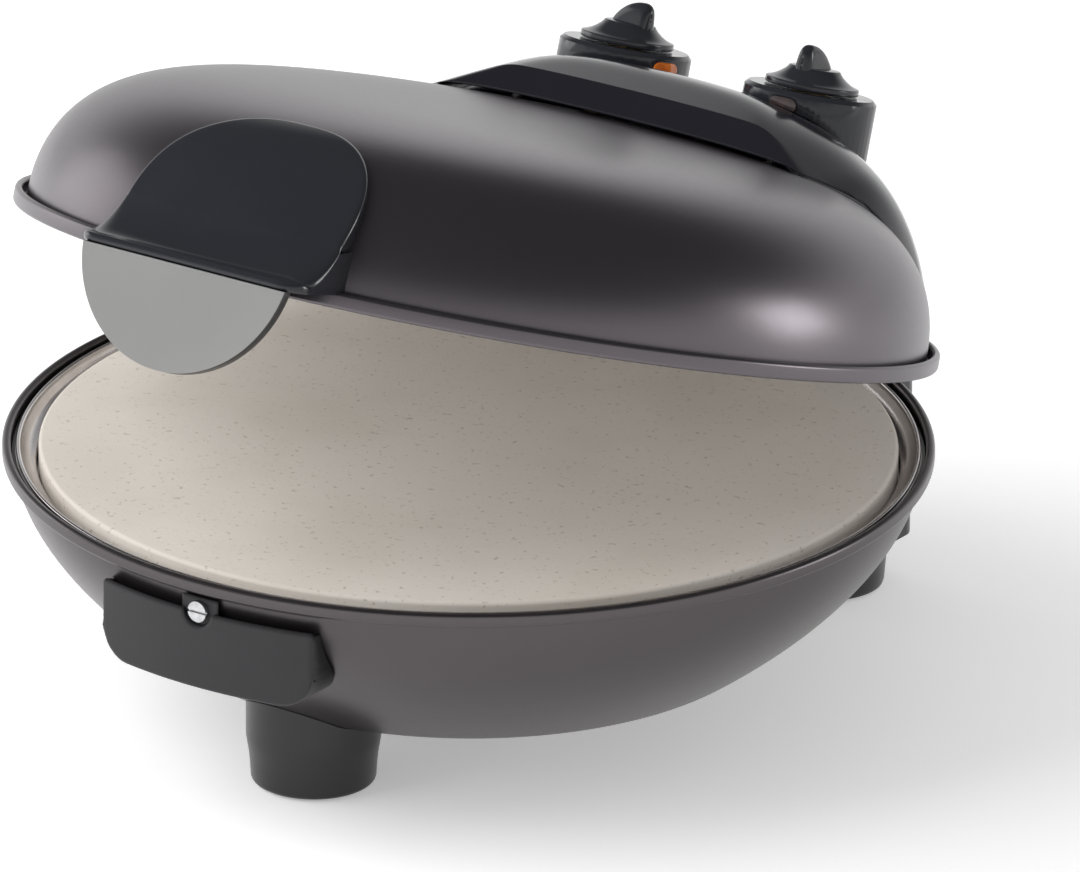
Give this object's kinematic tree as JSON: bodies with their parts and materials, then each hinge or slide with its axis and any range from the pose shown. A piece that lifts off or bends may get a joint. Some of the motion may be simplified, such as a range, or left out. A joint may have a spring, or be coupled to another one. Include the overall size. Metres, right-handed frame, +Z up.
{
  "type": "electric pizza maker",
  "caption": "Round electric pizza maker: a domed hinged lid with grip and control knobs over a base bowl with a baking stone.",
  "frame": {"origin": "on the surface that it stands on, at the bottom centre of the whole part at rest; the baking stone's centre is right above it", "axes": "+Z up, -Y towards the user and the grip, +Y towards the hinge, +X to the user's right"},
  "size_m": [0.3488, 0.396, 0.2598],
  "materials": {
    "enamel": "satin bronze-grey lacquer",
    "bright_steel": "polished bright",
    "heater": "dull, heat-darkened",
    "zinc": "zinc plated",
    "pin_steel": "ground bright",
    "brass": "plain",
    "white_ceramic": "plain white",
    "baking_stone": "fine-grained cream",
    "black_gloss": "polished black",
    "black_satin": "satin black",
    "housing_black": "satin gloss black",
    "grey_plastic": "smooth dark grey",
    "pad_rubber": "soft black",
    "gland_rubber": "soft black",
    "block_plastic": "pale",
    "silver_face": "fine satin",
    "orange_lens": "clear orange",
    "smoke_lens": "dark smoked",
    "lamp_glass": "clear"
  },
  "bodies": {
    "base": {"base_shell": "enamel", "base_liner": "bright_steel", "lower_element": "heater", "lower_element_clips": "zinc", "lower_bushes": "white_ceramic", "front_foot": "black_satin", "foot_screws": "zinc", "foot_pads": "pad_rubber", "hinge_tower": "black_satin", "tower_screws": "zinc", "hinge_pins": "pin_steel", "cord_gland": "gland_rubber", "terminal_block": "block_plastic", "front_plate": "grey_plastic", "front_plate_screw": "zinc"},
    "stone": {"stone": "baking_stone"},
    "lid": {"lid_shell": "enamel", "lid_reflector": "bright_steel", "upper_element": "heater", "upper_element_clips": "zinc", "upper_bushes": "white_ceramic", "lid_handle": "black_gloss", "handle_screws": "zinc", "guard_disc": "black_satin", "guard_face": "silver_face", "guard_screws": "zinc", "control_housing": "housing_black", "housing_screws": "zinc", "pod_left": "black_gloss", "pod_right": "black_gloss", "thermostat_left": "zinc", "thermostat_right": "zinc", "thermostat_nuts": "brass", "lamp_lens_left": "orange_lens", "lamp_lens_right": "smoke_lens", "lamps": "lamp_glass"},
    "knob_left": {"knob_left": "black_gloss", "spindle_left": "pin_steel"},
    "knob_right": {"knob_right": "black_gloss", "spindle_right": "pin_steel"}
  },
  "joints": [
    {"name": "lid_hinge", "type": "hinge", "parent": "base", "child": "lid", "pos_m": [0, 0.1925, 0.122], "axis": [-1, 0, 0], "range_deg": [-17.87, 57.13]},
    {"name": "stone_lift", "type": "slide", "parent": "base", "child": "stone", "axis": [0, 0, 1], "range_m": [0, 0.0025]},
    {"name": "knob_left_turn", "type": "hinge", "parent": "lid", "child": "knob_left", "pos_m": [-0.0421, 0.16414, 0.20186], "axis": [0, 0.3069, 0.9518], "range_deg": [-135, 135]},
    {"name": "knob_right_turn", "type": "hinge", "parent": "lid", "child": "knob_right", "pos_m": [0.0421, 0.16414, 0.20186], "axis": [0, 0.3069, 0.9518], "range_deg": [-135, 135]}
  ]
}
